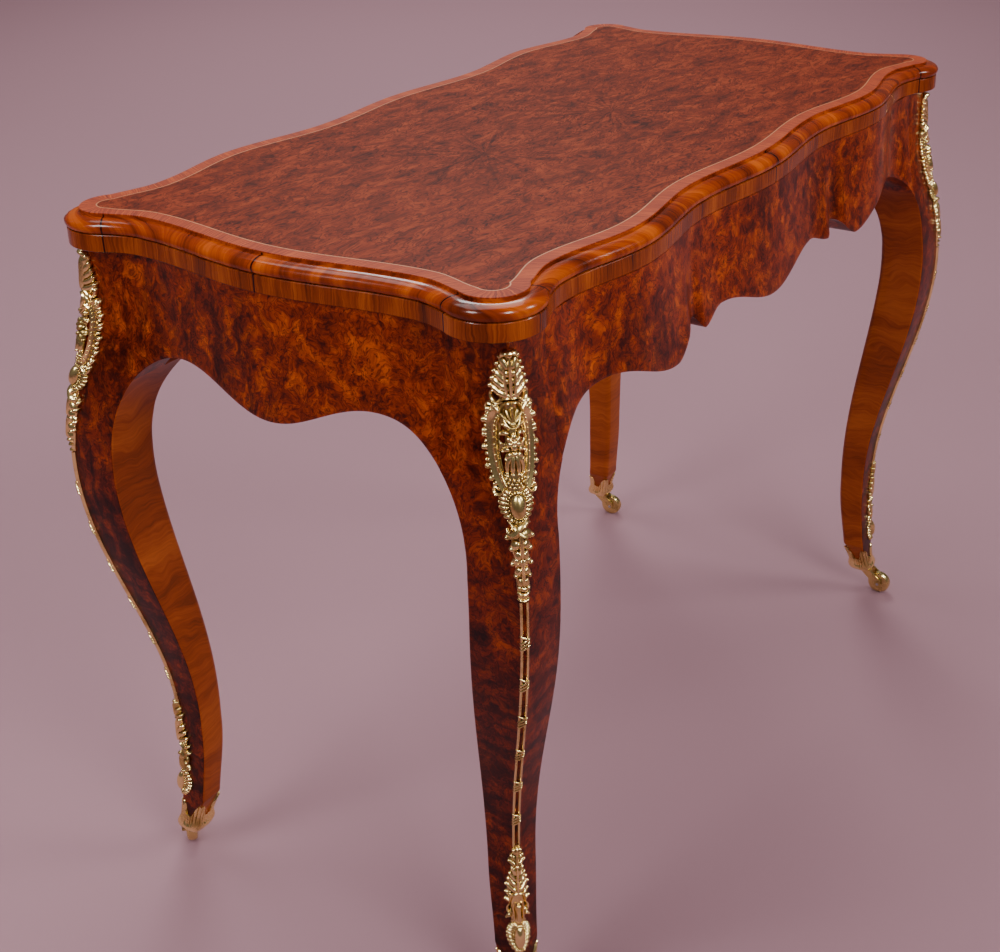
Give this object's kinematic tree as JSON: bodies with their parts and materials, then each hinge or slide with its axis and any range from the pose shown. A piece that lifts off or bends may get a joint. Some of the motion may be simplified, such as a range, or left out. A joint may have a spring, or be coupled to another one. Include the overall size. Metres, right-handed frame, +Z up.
{
  "type": "folding games table",
  "caption": "Serpentine fold-over games table: a swivelling hinged double top on a shaped frieze with a hidden well, cabriole legs with cast mounts, and swivel castors.",
  "frame": {"origin": "on the floor, under the middle of the closed table", "axes": "+Z up, +X along the long side to the sitter's right, the front long side faces -Y and the leaves are hinged along the back edge"},
  "size_m": [0.9882, 0.5252, 0.75],
  "materials": {
    "burr_walnut": "french polished burr veneer",
    "leg_walnut": "french polished figured walnut",
    "carcass_wood": "plain unpolished secondary wood",
    "bush_brass": "turned",
    "gilt_brass": "cast, chased and gilded",
    "castor_brass": "cast and worn",
    "steel": "plain",
    "hinge_brass": "plain",
    "green_cloth": "napped wool playing cloth",
    "edge_walnut": "crossbanded edge, french polished",
    "moulding_walnut": "cross-grained moulding, french polished",
    "crossband": "kingwood-like crossbanding, polished",
    "stringing": "pale boxwood line, polished",
    "top_burr": "burr walnut panel, satin polish"
  },
  "bodies": {
    "frame": {"front_apron": "burr_walnut", "back_apron": "burr_walnut", "left_apron": "burr_walnut", "right_apron": "burr_walnut", "leg_front_left": "leg_walnut", "leg_front_right": "leg_walnut", "leg_back_left": "leg_walnut", "leg_back_right": "leg_walnut", "pivot_rail": "carcass_wood", "cross_rail": "carcass_wood", "pivot_bush": "bush_brass", "well_divider": "carcass_wood", "well_floor": "carcass_wood", "well_cleats": "carcass_wood", "glue_blocks": "carcass_wood", "knee_mount_front_left": "gilt_brass", "knee_mount_front_right": "gilt_brass", "knee_mount_back_left": "gilt_brass", "knee_mount_back_right": "gilt_brass", "reed_strip_front_left": "gilt_brass", "reed_strip_front_right": "gilt_brass", "reed_strip_back_left": "gilt_brass", "reed_strip_back_right": "gilt_brass", "foot_mount_front_left": "gilt_brass", "foot_mount_front_right": "gilt_brass", "foot_mount_back_left": "gilt_brass", "foot_mount_back_right": "gilt_brass", "shoe_front_left": "gilt_brass", "shoe_front_right": "gilt_brass", "shoe_back_left": "gilt_brass", "shoe_back_right": "gilt_brass"},
    "lower_leaf": {"lower_leaf": "edge_walnut", "lower_cloth": "green_cloth", "pivot_spindle": "steel", "pivot_washer": "steel", "pivot_nut": "steel", "stop_peg": "steel", "lower_hinge_plates": "hinge_brass"},
    "upper_leaf": {"upper_leaf": "edge_walnut", "thumb_moulding": "moulding_walnut", "upper_cloth": "green_cloth", "upper_hinge_plates": "hinge_brass", "hinge_pins": "steel", "top_crossband": "crossband", "top_stringing": "stringing", "top_burr_panel": "top_burr"},
    "castor_front_left": {"castor_fork_front_left": "castor_brass", "castor_axle_front_left": "steel"},
    "wheel_front_left": {"castor_wheel_front_left": "castor_brass"},
    "castor_front_right": {"castor_fork_front_right": "castor_brass", "castor_axle_front_right": "steel"},
    "wheel_front_right": {"castor_wheel_front_right": "castor_brass"},
    "castor_back_left": {"castor_fork_back_left": "castor_brass", "castor_axle_back_left": "steel"},
    "wheel_back_left": {"castor_wheel_back_left": "castor_brass"},
    "castor_back_right": {"castor_fork_back_right": "castor_brass", "castor_axle_back_right": "steel"},
    "wheel_back_right": {"castor_wheel_back_right": "castor_brass"}
  },
  "joints": [
    {"name": "top_swivel", "type": "hinge", "parent": "frame", "child": "lower_leaf", "pos_m": [0.118, 0.118, 0.7177], "axis": [0, 0, 1], "range_deg": [0, 90]},
    {"name": "leaf_fold", "type": "hinge", "parent": "lower_leaf", "child": "upper_leaf", "pos_m": [0, 0.236, 0.734], "axis": [-1, 0, 0], "range_deg": [0, 180]},
    {"name": "castor_swivel_front_left", "type": "hinge", "parent": "frame", "child": "castor_front_left", "pos_m": [-0.45, -0.2185, 0.04], "axis": [0, 0, 1], "continuous": true},
    {"name": "wheel_spin_front_left", "type": "hinge", "parent": "castor_front_left", "child": "wheel_front_left", "pos_m": [-0.43853, -0.23488, 0.015], "axis": [0.8192, 0.5736, 0], "continuous": true},
    {"name": "castor_swivel_front_right", "type": "hinge", "parent": "frame", "child": "castor_front_right", "pos_m": [0.45, -0.2185, 0.04], "axis": [0, 0, 1], "continuous": true},
    {"name": "wheel_spin_front_right", "type": "hinge", "parent": "castor_front_right", "child": "wheel_front_right", "pos_m": [0.4507, -0.23849, 0.015], "axis": [0.9994, 0.0349, 0], "continuous": true},
    {"name": "castor_swivel_back_left", "type": "hinge", "parent": "frame", "child": "castor_back_left", "pos_m": [-0.45, 0.2185, 0.04], "axis": [0, 0, 1], "continuous": true},
    {"name": "wheel_spin_back_left", "type": "hinge", "parent": "castor_back_left", "child": "wheel_back_left", "pos_m": [-0.43586, 0.23264, 0.015], "axis": [-0.7071, 0.7071, 0], "continuous": true},
    {"name": "castor_swivel_back_right", "type": "hinge", "parent": "frame", "child": "castor_back_right", "pos_m": [0.45, 0.2185, 0.04], "axis": [0, 0, 1], "continuous": true},
    {"name": "wheel_spin_back_right", "type": "hinge", "parent": "castor_back_right", "child": "wheel_back_right", "pos_m": [0.45278, 0.19869, 0.015], "axis": [0.9903, 0.1392, 0], "continuous": true}
  ]
}
